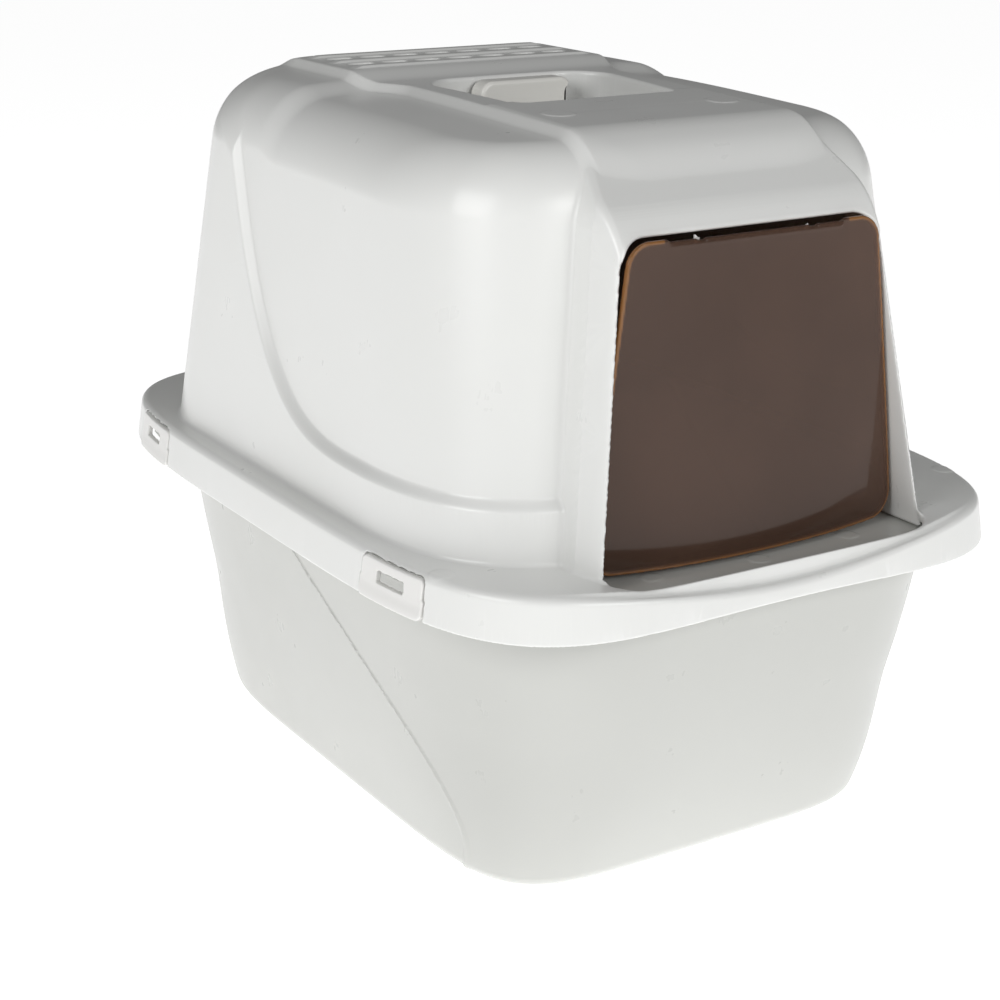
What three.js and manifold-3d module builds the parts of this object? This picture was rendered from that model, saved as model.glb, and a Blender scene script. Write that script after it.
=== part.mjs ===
// Hooded cat litter box: a pan, a lift-off hood with a swinging door flap, four edge latches,
// a carry grip in the roof and a charcoal filter under the vent. Millimetres, +Z up, front on -Y.
import * as THREE from 'three';
import { mergeVertices } from 'three/addons/utils/BufferGeometryUtils.js';
import Module from 'manifold-3d';

const wasm = await Module();
wasm.setup();

// Overall size
const overallWidth = 355.6;
const overallLength = 482.6;
const overallHeight = 393.7;
const rimHalfX = overallWidth / 2;
const rimHalfY = overallLength / 2;
const gap = 0.3;
const around = 64;

// Rim: the skirt of the hood closes over the rim of the pan
const rimPower = 4.75;
const rimTop = 186;
const skirtHeight = 23.5;
const skirtFlare = 3.4;
const skirtEdge = 1.4;
const skirtWall = 2.6;
const flangeWall = 2.6;
const skirtBottom = rimTop - skirtHeight;
const rimCornerLength = 31.8;
const entryHalf = rimHalfX - rimCornerLength;
const entryDip = 11.4;
const lipInset = 7.5;
const lipDrop = 3.5;

// Pan
const panWall = 3;
const ledgeDrop = 10;
const ledgeTop = rimTop - ledgeDrop;
const panTopInsetX = 23.8;
const panTopInsetY = 15.3;
const panTaperX = 25;
const panTaperY = 47;
const panTopHalfX = rimHalfX - panTopInsetX;
const panTopHalfY = rimHalfY - panTopInsetY;
const panBaseHalfX = panTopHalfX - panTaperX;
const panBaseHalfY = panTopHalfY - panTaperY;
const panBasePower = 5.2;
const panTopPower = 4;
const panBulge = 0.8;
const panEdgeRadius = 11;
const ledgeHook = 12;
const sillReach = 34;
const sillDrop = 7.1;
const catchReach = 8;
const catchHalf = 9;
const catchHeight = 4;

// Hood body, measured where it stands on the flange
const hoodWall = 2.6;
const sideFlange = 16.3;
const frontFlange = 43.8;
const backFlange = 53.3;
const bodyHalfX = rimHalfX - sideFlange;
const bodyFront = rimHalfY - frontFlange;
const bodyBack = rimHalfY - backFlange;
const sideLean = 0.098;
const frontLean = 0.157;
const backLean = 0.146;
const bodyCorner = 74;
const shoulderRadius = 34;
const ribHeight = 2;
const plateauHeight = 4.2;
const roofRise = 4;
const roofTop = overallHeight - ribHeight;
const roofFront = roofTop - plateauHeight - roofRise;
const roofFlatHalf = 60;
const roofFall = 0.0009;
const shoulderDrop = 38.5;
const pivotZ = roofFront - shoulderDrop;
const coreInsetX = 11.5;
const coreInsetY = 2;
const corePower = 4;

// Sunken side panel: a ledge that sweeps up towards the back, and a rail beside the roof band
const bandHalf = 68;
const railWidth = 7;
const panelDepth = 4.5;
const ledgeLift = 25;
const ledgeHeight = rimTop + ledgeLift;
const sweepLength = 165;
const sweepEnd = 108;
const sweepStart = bodyBack - sweepEnd - sweepLength;
const sweepRise = pivotZ - ledgeHeight;
const sweepPower = 3.2;

// Front frame round the entry
const cheekInset = 65.1;
const frameSetback = 22.5;
const frameLift = 13.5;
const frameFoot = { halfX: bodyHalfX - cheekInset, y: frameSetback - rimHalfY, z: rimTop + frameLift };
const frameNarrow = 0.1386;
const frameLean = 0.1454;
const frameTurn = roofFront - 40.5;
const frameShoulder = 0.2;
const frameFlare = 0.33;
const flareDepth = 20;
const frameEdge = 3;
const browSlope = 0.74;
const browRadius = 16;
const browSetback = 56.5;
const browTop = browSetback - bodyFront;
const browEnd = 60;
const entryTop = roofFront - 42.9;
const entryBottom = rimTop - 4;
const entryCorner = 13;
const jambDepth = 9.5;
const jambBack = jambDepth - bodyFront;
const jambWall = 3;

// Door flap, hung inside the frame
const flapThickness = 2.6;
const flapGap = 3.4;
const flapSetback = 9;
const flapY = jambBack - flapSetback;
const pivotDrop = 4.1;
const flapPivotZ = entryTop - pivotDrop;
const flapClearance = 4.5;
const flapBottom = ledgeTop + flapClearance;
const flapCorner = 15;
const pivotRadius = 2.2;
const pivotGap = 0.4;
const hookHalfSpacing = 34;
const hookWidth = 5;
const hookBack = 3;
const hookSeat = 2;
const notchDepth = 9.5;
const flapBarHalf = 52;

// Latches, two on each side
const latchInset = 98.3;
const latchCentreY = rimHalfY - latchInset;
const latchWidth = 52;
const latchThickness = 2.6;
const latchProud = 0.5;
const latchGap = 0.5;
const latchDrop = 3.8;
const notchTopGap = 0.9;
const notchIn = 9;
const notchOut = 12;
const windowWidth = 22;
const windowHeight = 6;

// Vent, filter and carry recess in the roof
const slotLength = 15.5;
const slotWidth = 7.5;
const slotPitch = 21.5;
const slotsPerRow = 7;
const rowPitch = 26;
const rowsOfSlots = 3;
const ventInset = 85;
const ventCentreY = bodyBack - ventInset;
const plateauRun = 28;
const plateauMargin = 2;
const ribHalfLength = 81;
const ribWidth = 7;
const filterThickness = 6;
const filterMargin = 9;
const filterClearance = 5;
const trayWall = 2;
const trayBorder = 4;
const trayWindows = 4;
const trayBar = 6;
const recessHalfX = 52;
const recessGap = 72;
const recessLength = 97;
const recessBack = ventCentreY - recessGap;
const recessFront = recessBack - recessLength;
const recessDepth = 38;
const recessCorner = 14;
const recessWall = 2.5;
const gripHalfX = 23;
const gripDepth = 13;
const gripWall = 5;
const gripCorner = 6;
const ventFront = ventCentreY - (rowsOfSlots * rowPitch) / 2;
const clear = 10;

// ---- helpers -----------------------------------------------------------

function clamp(value, low, high) {
  return Math.min(Math.max(value, low), high);
}

function smoothStep(low, high, value) {
  const t = clamp((value - low) / (high - low), 0, 1);
  return t * t * (3 - 2 * t);
}

// The larger of two distances, with the edge between them rounded.
function roundMax(a, b, radius) {
  const outside = Math.hypot(Math.max(a + radius, 0), Math.max(b + radius, 0));
  return Math.min(Math.max(a, b), -radius) + outside;
}

function roundMin(a, b, radius) {
  return -roundMax(-a, -b, radius);
}

// One point of a superellipse, at a turn from 0 to 1.
function superPoint(halfX, halfY, power, turn) {
  const c = Math.cos(turn * 2 * Math.PI);
  const s = Math.sin(turn * 2 * Math.PI);
  const x = halfX * Math.sign(c) * Math.abs(c) ** (2 / power);
  const y = halfY * Math.sign(s) * Math.abs(s) ** (2 / power);
  return new THREE.Vector2(x, y);
}

// The turns that step evenly along the rim.
function evenTurns(count) {
  const fine = 4000;
  const lengths = [0];
  for (let i = 1; i <= fine; i += 1) {
    const here = superPoint(rimHalfX, rimHalfY, rimPower, i / fine);
    const last = superPoint(rimHalfX, rimHalfY, rimPower, (i - 1) / fine);
    lengths.push(lengths[i - 1] + here.distanceTo(last));
  }
  const turns = [];
  let k = 0;
  for (let i = 0; i < count; i += 1) {
    const wanted = (lengths[fine] * i) / count;
    while (lengths[k + 1] < wanted) {
      k += 1;
    }
    turns.push((k + (wanted - lengths[k]) / (lengths[k + 1] - lengths[k])) / fine);
  }
  return turns;
}

const turns = evenTurns(around);

function solidOf(geometry) {
  const plain = geometry.index ? geometry.toNonIndexed() : geometry.clone();
  plain.deleteAttribute('normal');
  plain.deleteAttribute('uv');
  const merged = mergeVertices(plain, 1e-4);
  return new wasm.Manifold(new wasm.Mesh({
    numProp: 3,
    vertProperties: new Float32Array(merged.attributes.position.array),
    triVerts: new Uint32Array(merged.index.array),
  }));
}

function geometryOf(solid) {
  const mesh = solid.getMesh();
  const geometry = new THREE.BufferGeometry();
  geometry.setAttribute('position', new THREE.BufferAttribute(new Float32Array(mesh.vertProperties), 3));
  geometry.setIndex(new THREE.BufferAttribute(new Uint32Array(mesh.triVerts), 1));
  geometry.computeVertexNormals();
  return geometry;
}

// A closed skin through rings of equal length, with its two ends filled from their middles.
function ringSolid(rings) {
  const count = rings[0].length;
  const positions = [];
  const middle = new THREE.Vector3();
  rings.forEach((ring) => ring.forEach((p) => positions.push(p.x, p.y, p.z)));
  [rings[0], rings[rings.length - 1]].forEach((ring) => {
    middle.set(0, 0, 0);
    ring.forEach((p) => middle.add(p));
    middle.divideScalar(count);
    positions.push(middle.x, middle.y, middle.z);
  });
  const first = rings.length * count;
  const index = [];
  for (let i = 0; i < count; i += 1) {
    const j = (i + 1) % count;
    for (let k = 0; k + 1 < rings.length; k += 1) {
      const a = k * count;
      const b = a + count;
      index.push(a + i, a + j, b + j, a + i, b + j, b + i);
    }
    const last = (rings.length - 1) * count;
    index.push(first, j, i);
    index.push(first + 1, last + i, last + j);
  }
  const geometry = new THREE.BufferGeometry();
  geometry.setAttribute('position', new THREE.BufferAttribute(new Float32Array(positions), 3));
  geometry.setIndex(index);
  return solidOf(geometry);
}

function boxSolid(low, high) {
  const size = [0, 1, 2].map((i) => high[i] - low[i]);
  const geometry = new THREE.BoxGeometry(...size);
  geometry.translate(...[0, 1, 2].map((i) => (high[i] + low[i]) / 2));
  return solidOf(geometry);
}

// A cylinder between two points.
function rodSolid(from, to, radius, sides) {
  const line = new THREE.Vector3().subVectors(to, from);
  const geometry = new THREE.CylinderGeometry(radius, radius, line.length(), sides);
  const turn = new THREE.Quaternion().setFromUnitVectors(new THREE.Vector3(0, 1, 0), line.clone().normalize());
  geometry.applyQuaternion(turn);
  geometry.translate((from.x + to.x) / 2, (from.y + to.y) / 2, (from.z + to.z) / 2);
  return solidOf(geometry);
}

// A rounded quadrilateral between two heights, with its own half-width at each.
function taperedShape(lowHalf, highHalf, low, high, corner) {
  const points = [[lowHalf, low], [highHalf, high], [-highHalf, high], [-lowHalf, low]]
    .map(([x, y]) => new THREE.Vector2(x, y));
  const shape = new THREE.Shape();
  points.forEach((point, i) => {
    const before = points[(i + 3) % 4];
    const after = points[(i + 1) % 4];
    const start = point.clone().lerp(before, corner / point.distanceTo(before));
    const end = point.clone().lerp(after, corner / point.distanceTo(after));
    if (i === 0) {
      shape.moveTo(start.x, start.y);
    } else {
      shape.lineTo(start.x, start.y);
    }
    shape.quadraticCurveTo(point.x, point.y, end.x, end.y);
  });
  shape.closePath();
  return shape;
}

// A shape drawn in X and Z, standing between two places on Y.
function standing(shape, front, back, steps = 4) {
  const geometry = new THREE.ExtrudeGeometry(shape, { depth: back - front, bevelEnabled: false, curveSegments: steps });
  geometry.rotateX(Math.PI / 2);
  geometry.translate(0, back, 0);
  return solidOf(geometry);
}

// A shape drawn in X and Y, lying between two heights.
function lying(shape, low, high, steps = 4) {
  const geometry = new THREE.ExtrudeGeometry(shape, { depth: high - low, bevelEnabled: false, curveSegments: steps });
  geometry.translate(0, 0, low);
  return solidOf(geometry);
}

// ---- shape of the hood ---------------------------------------------------

function frameHalf(z) {
  const foot = frameFoot.halfX - frameNarrow * (Math.min(z, frameTurn) - frameFoot.z);
  return foot - frameShoulder * Math.max(z - frameTurn, 0);
}

function frameFace(z) {
  return frameFoot.y + frameLean * (z - frameFoot.z);
}

function roofHeight(x, y) {
  const plateauStart = ventFront - plateauMargin;
  const rise = roofRise * smoothStep(-bodyFront, plateauStart - plateauRun, y);
  const plateau = plateauHeight * smoothStep(plateauStart - plateauRun, plateauStart, y);
  const fall = roofFall * Math.max(Math.abs(x) - roofFlatHalf, 0) ** 2;
  return roofFront + rise + plateau - fall;
}

// How far a place lies inside the recessed side panel, from 0 to 1.
function panelShare(x, y, z) {
  const reach = Math.max((y - sweepStart) / sweepLength, 0);
  const edge = ledgeHeight + sweepRise * reach ** sweepPower;
  const slope = (sweepRise * sweepPower / sweepLength) * reach ** (sweepPower - 1);
  const above = (z - edge) / Math.hypot(1, slope);
  const beside = Math.abs(x) - bandHalf;
  return smoothStep(0, railWidth, above) * smoothStep(0, railWidth, beside);
}

// Distance outside the hood's skin; below zero is inside.
function hoodDistance(x, y, z) {
  const halfX = Math.abs(x);
  const up = z - rimTop;
  const side = halfX - bodyHalfX + sideLean * up;
  const ends = Math.max(-y - bodyFront + frontLean * up, y - bodyBack + backLean * up);
  const plan = roundMax(side, ends, bodyCorner);
  const top = z - roofHeight(x, y);
  const body = roundMax(plan, top, shoulderRadius) + panelDepth * panelShare(x, y, z);
  const forward = frameFace(z) - y;
  const flare = frameFlare * clamp(-forward, 0, flareDepth) * (1 - smoothStep(pivotZ, roofFront, z));
  const cheek = (halfX - frameHalf(z) - flare) / Math.hypot(1, frameFlare);
  const brow = (z - roofFront + browSlope * (browTop - y)) / Math.hypot(1, browSlope);
  const face = roundMax(forward, brow, browRadius);
  const frame = roundMax(roundMax(cheek, face, frameEdge), Math.max(top, y + browEnd), frameEdge);
  return roundMin(body, frame, frameEdge);
}

const castSteps = 40;

// Walks out from an inner place until the skin, less an inset, is reached.
function castOut(from, direction, inset) {
  let near = 0;
  let far = overallLength / 2;
  for (let i = 0; i < castSteps; i += 1) {
    const middle = (near + far) / 2;
    const p = from.clone().addScaledVector(direction, middle);
    if (hoodDistance(p.x, p.y, p.z) < -inset) {
      near = middle;
    } else {
      far = middle;
    }
  }
  return from.clone().addScaledVector(direction, near);
}

function coreOutline(turn, share) {
  return superPoint((bodyHalfX - coreInsetX) * share, (bodyBack - coreInsetY) * share, corePower, turn);
}

const wallCore = 0.45;
const shoulderCore = 0.72;

function wallRing(z, inset) {
  return turns.map((turn) => {
    const core = coreOutline(turn, wallCore);
    const out = coreOutline(turn, 1).sub(core).normalize();
    return castOut(new THREE.Vector3(core.x, core.y, z), new THREE.Vector3(out.x, out.y, 0), inset);
  });
}

function shoulderRing(angle, inset) {
  return turns.map((turn) => {
    const core = coreOutline(turn, shoulderCore);
    const out = coreOutline(turn, 1).sub(core).normalize();
    const direction = new THREE.Vector3(out.x * Math.cos(angle), out.y * Math.cos(angle), Math.sin(angle));
    return castOut(new THREE.Vector3(core.x, core.y, pivotZ), direction, inset);
  });
}

function roofRing(share, inset) {
  return turns.map((turn) => {
    const core = coreOutline(turn, share);
    return castOut(new THREE.Vector3(core.x, core.y, pivotZ), new THREE.Vector3(0, 0, 1), inset);
  });
}

function domeRings(foot, inset) {
  const rings = [];
  const panelFoot = ledgeHeight + railWidth + 2;
  const heights = [foot, ledgeHeight - 1, panelFoot, (panelFoot + frameTurn) / 2, frameTurn - 4];
  heights.forEach((z) => rings.push(wallRing(z, inset)));
  [0, 20, 38, 54, 70].forEach((angle) => rings.push(shoulderRing(THREE.MathUtils.degToRad(angle), inset)));
  [shoulderCore, 0.52, 0.34, 0.18, 0.02].forEach((share) => rings.push(roofRing(share, inset)));
  return rings;
}

// ---- rim -------------------------------------------------------------------

function entryShare(x, y) {
  return y < 0 ? Math.cos(clamp(x / entryHalf, -1, 1) * Math.PI / 2) ** 2 : 0;
}

// The rim's outline, drawn in by an inset, with its height lowered at the entry.
function rimRing(inset, height, dip) {
  return turns.map((turn) => {
    const p = superPoint(rimHalfX - inset, rimHalfY - inset, rimPower, turn);
    return new THREE.Vector3(p.x, p.y, height - dip * entryShare(p.x, p.y));
  });
}

// ---- hood shell --------------------------------------------------------------

const lipWall = lipInset + hoodWall;
const entryReach = 30;

function entryPrism(low, grow, front, back) {
  const high = entryTop + grow;
  const shape = taperedShape(frameHalf(low) + grow, frameHalf(high) + grow, low, high, entryCorner + grow);
  return standing(shape, front, back);
}

// The way in: the framed opening, and the space behind the lip down to the sill.
function entrySpace() {
  const behindLip = ringSolid([rimRing(lipWall, skirtBottom - clear, 0), rimRing(lipWall, frameTurn, 0)]);
  const low = entryPrism(skirtBottom, 0, -rimHalfY, jambBack + entryReach).intersect(behindLip);
  return entryPrism(entryBottom, 0, -rimHalfY - 1, jambBack + entryReach).add(low);
}

function ventSlots(low, high) {
  const slots = [];
  for (let row = 0; row < rowsOfSlots; row += 1) {
    const y = ventCentreY + (row - (rowsOfSlots - 1) / 2) * rowPitch;
    for (let i = 0; i < slotsPerRow; i += 1) {
      const x = (i - (slotsPerRow - 1) / 2) * slotPitch;
      const shape = new THREE.Shape();
      shape.absellipse(x, y, slotLength / 2, slotWidth / 2, 0, Math.PI * 2, false, 0);
      slots.push(lying(shape, low, high, 5));
    }
  }
  return slots;
}

function ventRibs() {
  const ribs = [];
  for (let row = 0; row < rowsOfSlots; row += 1) {
    const y = ventCentreY + (row - rowsOfSlots / 2) * rowPitch;
    const low = [-ribHalfLength, y - ribWidth / 2, roofTop - hoodWall / 2];
    ribs.push(boxSolid(low, [ribHalfLength, y + ribWidth / 2, overallHeight]));
  }
  return ribs;
}

function recessShape(grow) {
  const half = recessHalfX + grow;
  return taperedShape(half, half, recessFront - grow, recessBack + grow, recessCorner + grow);
}

// The middle of one latch on the skirt, with the way out of it and the way along it.
function latchPlace(sideSign, endSign) {
  const halfX = rimHalfX - skirtFlare / 2;
  const halfY = rimHalfY - skirtFlare / 2;
  const onRim = (y) => halfX * (1 - Math.abs(y / halfY) ** rimPower) ** (1 / rimPower);
  const near = latchCentreY - latchWidth / 2;
  const far = latchCentreY + latchWidth / 2;
  const middle = new THREE.Vector3((onRim(near) + onRim(far)) / 2 * sideSign, latchCentreY * endSign, 0);
  const out = new THREE.Vector3(latchWidth * sideSign, (onRim(near) - onRim(far)) * endSign, 0).normalize();
  const along = new THREE.Vector3().crossVectors(out, new THREE.Vector3(0, 0, 1));
  return { middle, out, along };
}

// An outline drawn outward and up, carried along the rim at a latch.
function latchBar(place, outline, halfLength) {
  const shape = new THREE.Shape(outline.map(([out, up]) => new THREE.Vector2(out, up)));
  const geometry = new THREE.ExtrudeGeometry(shape, { depth: halfLength * 2, bevelEnabled: false });
  geometry.translate(0, 0, -halfLength);
  const up = new THREE.Vector3(0, 0, 1);
  const basis = new THREE.Matrix4().makeBasis(place.out, up, place.along);
  basis.setPosition(place.middle);
  geometry.applyMatrix4(basis);
  return solidOf(geometry);
}

const latchTop = rimTop - latchDrop;
const latchBottom = skirtBottom + 0.2;
const windowMiddle = (rimTop + skirtBottom) / 2 + 1;
const latchPlaces = {
  front_left: latchPlace(-1, -1),
  front_right: latchPlace(1, -1),
  rear_left: latchPlace(-1, 1),
  rear_right: latchPlace(1, 1),
};

// How far the skirt stands out at a height, from its own middle.
function skirtOut(z) {
  return skirtFlare * (0.5 - (z - skirtBottom) / skirtHeight);
}

function latchNotch(place) {
  const low = skirtBottom - 2;
  const high = latchTop + notchTopGap;
  const outline = [[-notchIn, low], [notchOut, low], [notchOut, high], [-notchIn, high]];
  return latchBar(place, outline, latchWidth / 2);
}

function latchSolid(place) {
  const face = (z) => skirtOut(z) + latchProud;
  const outline = [
    [face(latchBottom) - latchThickness, latchBottom],
    [face(latchBottom), latchBottom],
    [face(latchTop - 1.5), latchTop - 1.5],
    [face(latchTop) - 1.2, latchTop],
    [face(latchTop) - latchThickness, latchTop],
  ];
  const plate = latchBar(place, outline, latchWidth / 2 - latchGap);
  const low = windowMiddle - windowHeight / 2;
  const high = windowMiddle + windowHeight / 2;
  const window = [[-notchIn, low], [notchIn, low], [notchIn, high], [-notchIn, high]];
  return plate.subtract(latchBar(place, window, windowWidth / 2));
}

// Two hooks inside the top of the frame carry the bar of the door flap.
function hooks() {
  const back = pivotRadius + pivotGap;
  const low = flapPivotZ - back - hookSeat;
  const made = [];
  [-1, 1].forEach((side) => {
    const from = side * hookHalfSpacing - hookWidth / 2;
    const to = from + hookWidth;
    made.push(boxSolid([from, flapY + back, low], [to, flapY + back + hookBack, entryTop + 1]));
    made.push(boxSolid([from, flapY - pivotRadius, low], [to, flapY + back + 1, low + hookSeat]));
  });
  return made;
}

function hoodShell() {
  const outer = [
    rimRing(skirtWall, skirtBottom, 0),
    rimRing(0, skirtBottom, 0),
    rimRing(skirtFlare * 0.45, (rimTop + skirtBottom) / 2, entryDip * 0.45),
    rimRing(skirtFlare * 0.9, rimTop - 1.6, entryDip),
    rimRing(skirtFlare + skirtEdge, rimTop, entryDip),
    rimRing(lipInset - 1, rimTop, entryDip),
    rimRing(lipInset, rimTop, lipDrop),
    ...domeRings(rimTop, 0),
  ];
  const inner = [
    rimRing(skirtWall - 0.05, skirtBottom - 1, 0),
    rimRing(skirtFlare + skirtWall, rimTop - flangeWall, entryDip),
    rimRing(lipInset + hoodWall - 1, rimTop - flangeWall, entryDip),
    rimRing(lipInset + hoodWall, rimTop - flangeWall, lipDrop),
    ...domeRings(rimTop - flangeWall, hoodWall),
  ];
  const jambLimit = ringSolid([rimRing(lipWall, ledgeTop + gap, 0), ...domeRings(rimTop - 1, 0.1)]);
  const jamb = entryPrism(ledgeTop - entryCorner, jambWall, -rimHalfY, jambBack).intersect(jambLimit);
  const pocket = lying(recessShape(recessWall), roofFront - recessDepth - recessWall, roofFront + hoodWall / 2);
  const cuts = [
    entrySpace(),
    lying(recessShape(0), roofFront - recessDepth, overallHeight + clear),
    ...ventSlots(roofTop - clear, overallHeight + clear),
    ...Object.values(latchPlaces).map(latchNotch),
  ];
  let shell = ringSolid(outer).subtract(ringSolid(inner)).add(jamb).add(pocket);
  ventRibs().forEach((rib) => {
    shell = shell.add(rib);
  });
  cuts.forEach((cut) => {
    shell = shell.subtract(cut);
  });
  hooks().forEach((hook) => {
    shell = shell.add(hook);
  });
  return shell;
}

// ---- pan -------------------------------------------------------------------

function sillShare(x, y) {
  return y < 0 ? 1 - smoothStep(entryHalf * 0.93, entryHalf * 1.12, Math.abs(x)) : 0;
}

// One level of the pan's outside or, drawn in by a wall, of its inside.
function panRing(z, inset) {
  const rise = clamp(z / ledgeTop, 0, 1) ** panBulge;
  const foot = z < panEdgeRadius ? panEdgeRadius - Math.sqrt(panEdgeRadius ** 2 - (panEdgeRadius - z) ** 2) : 0;
  const halfX = THREE.MathUtils.lerp(panBaseHalfX, panTopHalfX, rise) - foot - inset;
  const halfY = THREE.MathUtils.lerp(panBaseHalfY, panTopHalfY, rise) - foot - inset;
  const power = THREE.MathUtils.lerp(panBasePower, panTopPower, rise);
  return turns.map((turn) => {
    const p = superPoint(halfX, halfY, power, turn);
    return new THREE.Vector3(p.x, p.y, z);
  });
}

function ledgeRing(inset, below) {
  const seat = rimTop - flangeWall - gap;
  return rimRing(inset, 0, 0).map((p) => {
    p.z = seat - sillDrop * sillShare(p.x, p.y) - below;
    return p;
  });
}

// The inner edge of the ledge, wide at the entry where it makes the sill.
function ledgeInner(below, reach) {
  const wall = panRing(ledgeTop, panWall);
  const edge = ledgeRing(0, below);
  return wall.map((p, i) => {
    const y = p.y + reach * sillShare(p.x, p.y);
    return new THREE.Vector3(p.x, y, edge[i].z);
  });
}

function catches() {
  return Object.values(latchPlaces).map((place) => {
    const reach = skirtOut(windowMiddle) + latchProud - latchThickness - gap;
    const low = windowMiddle - catchHeight / 2;
    const high = windowMiddle + catchHeight / 2;
    const outline = [[reach - catchReach, low], [reach, low], [reach, high], [reach - catchReach, high]];
    return latchBar(place, outline, catchHalf);
  });
}

function litterPan() {
  const edge = lipWall + gap * 3;
  const ends = [0, 3, 7, panEdgeRadius];
  const sides = [0.25, 0.5, 0.75, 0.94].map((share) => share * ledgeTop);
  const skin = ringSolid([
    ...[...ends, ...sides].map((z) => panRing(z, 0)),
    ledgeRing(edge, ledgeHook),
    ledgeRing(edge, 1),
    ledgeRing(edge + 1, 0),
    ledgeInner(0, sillReach),
    ledgeInner(panWall, sillReach),
    ledgeInner(ledgeHook - 1, 0),
    ...[0.85, 0.62, 0.4, 0.2].map((share) => panRing(share * ledgeTop, panWall)),
    ...[panWall + 8, panWall + 3, panWall].map((z) => panRing(z, panWall)),
  ]);
  return catches().reduce((made, tooth) => made.add(tooth), skin);
}

// ---- door flap ---------------------------------------------------------------

function doorFlap() {
  const top = flapPivotZ + pivotRadius;
  const shape = taperedShape(frameHalf(flapBottom) - flapGap, frameHalf(top) - flapGap, flapBottom, top, flapCorner);
  let flap = standing(shape, flapY - flapThickness / 2, flapY + flapThickness / 2, 6);
  [-1, 1].forEach((side) => {
    const middle = side * hookHalfSpacing;
    const half = hookWidth / 2 + 1;
    const low = [middle - half, flapY - clear, flapPivotZ - notchDepth];
    flap = flap.subtract(boxSolid(low, [middle + half, flapY + clear, top + 1]));
  });
  const from = new THREE.Vector3(-flapBarHalf, flapY, flapPivotZ);
  const to = new THREE.Vector3(flapBarHalf, flapY, flapPivotZ);
  return flap.add(rodSolid(from, to, pivotRadius, 12));
}

// ---- roof fittings -------------------------------------------------------------

function carryGrip() {
  const back = recessBack - gap;
  const floor = roofFront - recessDepth + gap;
  const top = roofFront - 1 + gap;
  const shape = taperedShape(gripHalfX, gripHalfX, floor, top, gripCorner);
  const block = standing(shape, back - gripDepth, back);
  const fingers = boxSolid(
    [-gripHalfX + gripWall, back - gripDepth - 1, floor + gripWall],
    [gripHalfX - gripWall, back - gripWall + 1, top - gripWall - gripCorner],
  );
  return block.subtract(fingers);
}

const filterHalfX = ribHalfLength - filterClearance;
const filterHalfY = (rowsOfSlots - 1) * rowPitch / 2 + filterMargin;
const filterTop = roofTop - hoodWall - filterClearance;

function filterPad() {
  const low = [-filterHalfX, ventCentreY - filterHalfY, filterTop - filterThickness];
  return boxSolid(low, [filterHalfX, ventCentreY + filterHalfY, filterTop]);
}

function filterTray() {
  const halfX = filterHalfX + gap + trayWall;
  const halfY = filterHalfY + gap + trayWall;
  const low = filterTop - filterThickness - gap - trayWall;
  let tray = boxSolid([-halfX, ventCentreY - halfY, low], [halfX, ventCentreY + halfY, filterTop - 1]);
  const inside = [filterHalfX + gap, filterHalfY + gap];
  const space = boxSolid(
    [-inside[0], ventCentreY - inside[1], low + trayWall],
    [inside[0], ventCentreY + inside[1], filterTop + 1],
  );
  tray = tray.subtract(space);
  const pitch = (filterHalfX * 2) / trayWindows;
  for (let i = 0; i < trayWindows; i += 1) {
    const from = -filterHalfX + i * pitch + trayBar / 2;
    tray = tray.subtract(boxSolid(
      [from, ventCentreY - filterHalfY + trayBorder, low - 1],
      [from + pitch - trayBar, ventCentreY + filterHalfY - trayBorder, filterTop],
    ));
  }
  return tray;
}

// ---- assembly --------------------------------------------------------------------

const group = new THREE.Group();

function addPart(name, solid, colour, roughness, opacity = 1) {
  const material = new THREE.MeshStandardMaterial({ color: colour, roughness, metalness: 0 });
  material.transparent = opacity < 1;
  material.opacity = opacity;
  const mesh = new THREE.Mesh(geometryOf(solid), material);
  mesh.name = name;
  group.add(mesh);
}

const hoodColour = 0xf0efeb;
addPart('litter_pan', litterPan(), 0xd7d8d3, 0.3);
addPart('hood_shell', hoodShell(), hoodColour, 0.22);
addPart('door_flap', doorFlap(), 0x5a3e30, 0.12, 0.55);
Object.entries(latchPlaces).forEach(([name, place]) => {
  addPart(`latch_${name}`, latchSolid(place), hoodColour, 0.28);
});
addPart('carry_grip', carryGrip(), 0xe6e2d8, 0.3);
addPart('filter_pad', filterPad(), 0x35363a, 0.95);
addPart('filter_tray', filterTray(), 0xdcdad4, 0.4);

export default group;
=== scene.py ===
"""A hooded cat litter box in its finished look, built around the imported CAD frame.

Each moulded piece is a solid described by a distance field: a function that is below zero inside
the plastic, zero on its skin and above zero in the air. Fields are joined and cut with rounded
edges, as the real mouldings are, then meshed, drawn onto the exact skin and given its normals.
Lengths in the fields are millimetres in the CAD frame; the finished meshes are in metres.
"""

import math

import bpy
import numpy as np
import openvdb
from mathutils import Matrix, Vector


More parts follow.
